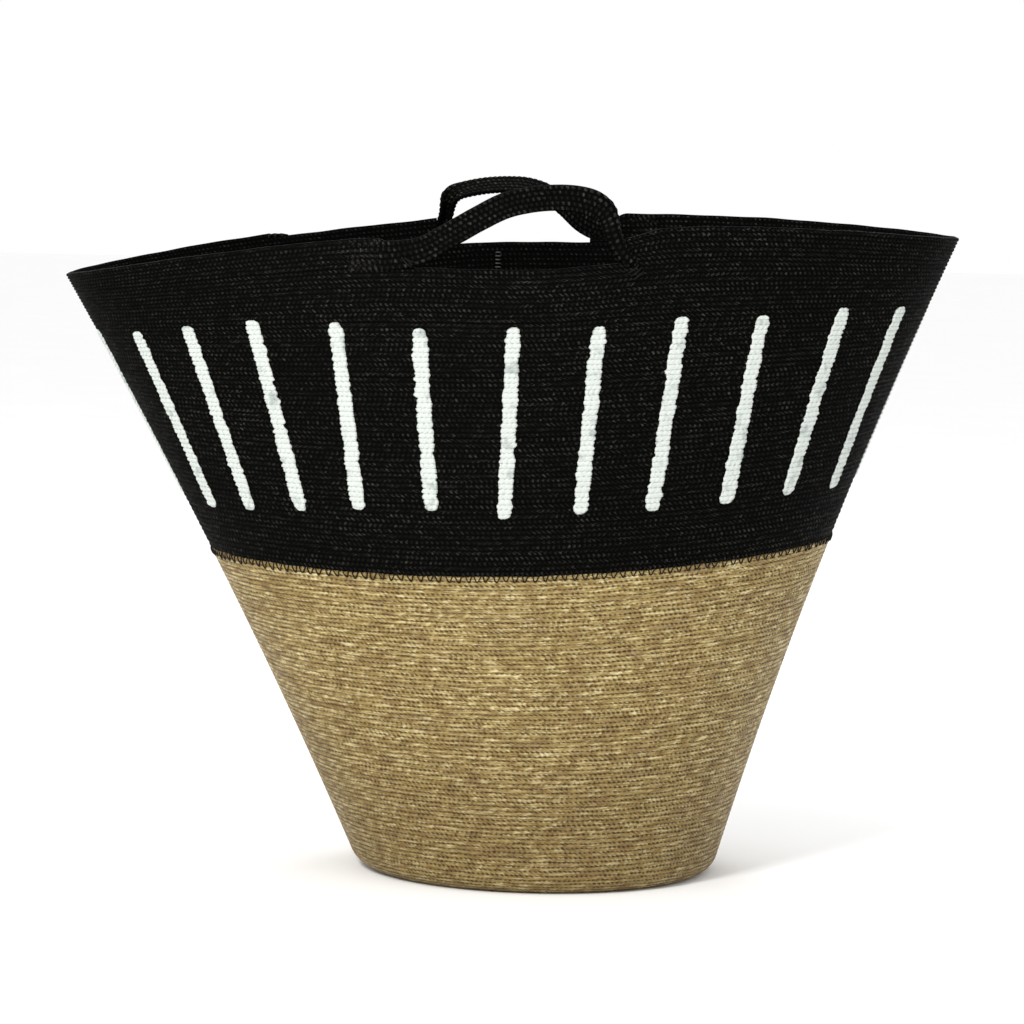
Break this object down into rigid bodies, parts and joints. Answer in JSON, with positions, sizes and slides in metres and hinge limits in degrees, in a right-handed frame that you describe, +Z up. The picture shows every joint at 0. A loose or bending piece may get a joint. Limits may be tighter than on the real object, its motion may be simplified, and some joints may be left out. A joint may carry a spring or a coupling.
{
  "type": "woven market basket",
  "caption": "Flared oval market basket of coiled, sewn braid: natural lower wall, black upper wall with painted white stripes, and two loop handles in the rim.",
  "frame": {"origin": "middle of the flat underside", "axes": "+Z up, +X along the long axis of the mouth, front wall faces -Y"},
  "size_m": [0.6046, 0.2691, 0.4691],
  "materials": {
    "natural_braid": "matte",
    "black_braid": "matte",
    "stripe_paint": "matte",
    "sewing_thread": "matte"
  },
  "bodies": {
    "basket": {"base_knot": "natural_braid", "base_coil": "natural_braid", "lower_wall": "natural_braid", "upper_wall": "black_braid", "rim_band_left": "black_braid", "rim_band_right": "black_braid", "rim_tail": "black_braid", "seam_thread": "sewing_thread", "front_left_tack": "sewing_thread", "front_right_tack": "sewing_thread", "back_left_tack": "sewing_thread", "back_right_tack": "sewing_thread", "back_darn": "sewing_thread", "stripe_01": "stripe_paint", "stripe_02": "stripe_paint", "stripe_03": "stripe_paint", "stripe_04": "stripe_paint", "stripe_05": "stripe_paint", "stripe_06": "stripe_paint", "stripe_07": "stripe_paint", "stripe_08": "stripe_paint", "stripe_09": "stripe_paint", "stripe_10": "stripe_paint", "stripe_11": "stripe_paint", "stripe_12": "stripe_paint", "stripe_13": "stripe_paint", "stripe_14": "stripe_paint", "stripe_15": "stripe_paint", "stripe_16": "stripe_paint", "stripe_17": "stripe_paint", "stripe_18": "stripe_paint", "stripe_19": "stripe_paint", "stripe_20": "stripe_paint", "stripe_21": "stripe_paint", "stripe_22": "stripe_paint", "stripe_23": "stripe_paint", "stripe_24": "stripe_paint"},
    "front_handle": {"front_handle": "black_braid"},
    "back_handle": {"back_handle": "black_braid"}
  },
  "joints": [
    {"name": "front_handle_swing", "type": "hinge", "parent": "basket", "child": "front_handle", "pos_m": [-0.055, -0.13174, 0.443], "axis": [0.9994, 0.0354, 0], "range_deg": [-110, 115]},
    {"name": "back_handle_swing", "type": "hinge", "parent": "basket", "child": "back_handle", "pos_m": [0.0165, 0.13021, 0.443], "axis": [-0.9999, 0.0128, 0], "range_deg": [-110, 115]}
  ]
}
